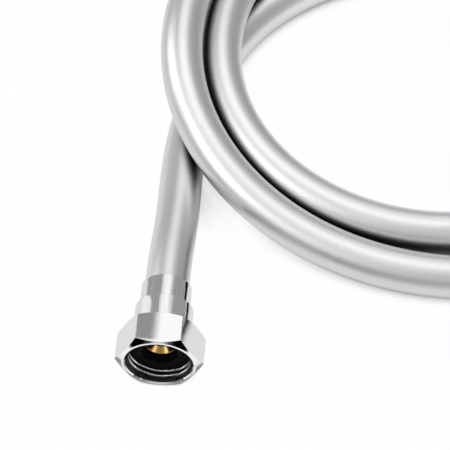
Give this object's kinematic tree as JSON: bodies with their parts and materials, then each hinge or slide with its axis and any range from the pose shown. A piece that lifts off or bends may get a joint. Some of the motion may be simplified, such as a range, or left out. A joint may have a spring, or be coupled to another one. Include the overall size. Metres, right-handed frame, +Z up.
{
  "type": "shower hose",
  "caption": "Loosely coiled smooth silver shower hose with a swivelling hexagon coupling nut at one end and a conical one at the other.",
  "frame": {"origin": "middle of the coil's footprint on the surface that it lies on", "axes": "+Z up, +Y from the mouth of either coupling nut back into the hose, +X from the hexagon nut's side to the conical nut's side"},
  "size_m": [0.2179, 0.2369, 0.0368],
  "materials": {
    "silver_pvc": "satin metallic",
    "chrome_plate": "polished",
    "brass": "turned",
    "black_rubber": "matt"
  },
  "bodies": {
    "hose": {"hose_tube": "silver_pvc", "hex_washer": "black_rubber", "hex_tail": "brass", "hex_ferrule": "chrome_plate", "cone_washer": "black_rubber", "cone_tail": "brass", "cone_ferrule": "chrome_plate"},
    "hex_nut": {"hex_nut": "chrome_plate"},
    "cone_nut": {"cone_nut": "chrome_plate"}
  },
  "joints": [
    {"name": "hex_nut_spin", "type": "hinge", "parent": "hose", "child": "hex_nut", "pos_m": [-0.095, -0.1185, 0.012], "axis": [0, -1, 0], "continuous": true},
    {"name": "cone_nut_spin", "type": "hinge", "parent": "hose", "child": "cone_nut", "pos_m": [0.097, -0.094, 0.012], "axis": [0, -1, 0], "continuous": true}
  ]
}
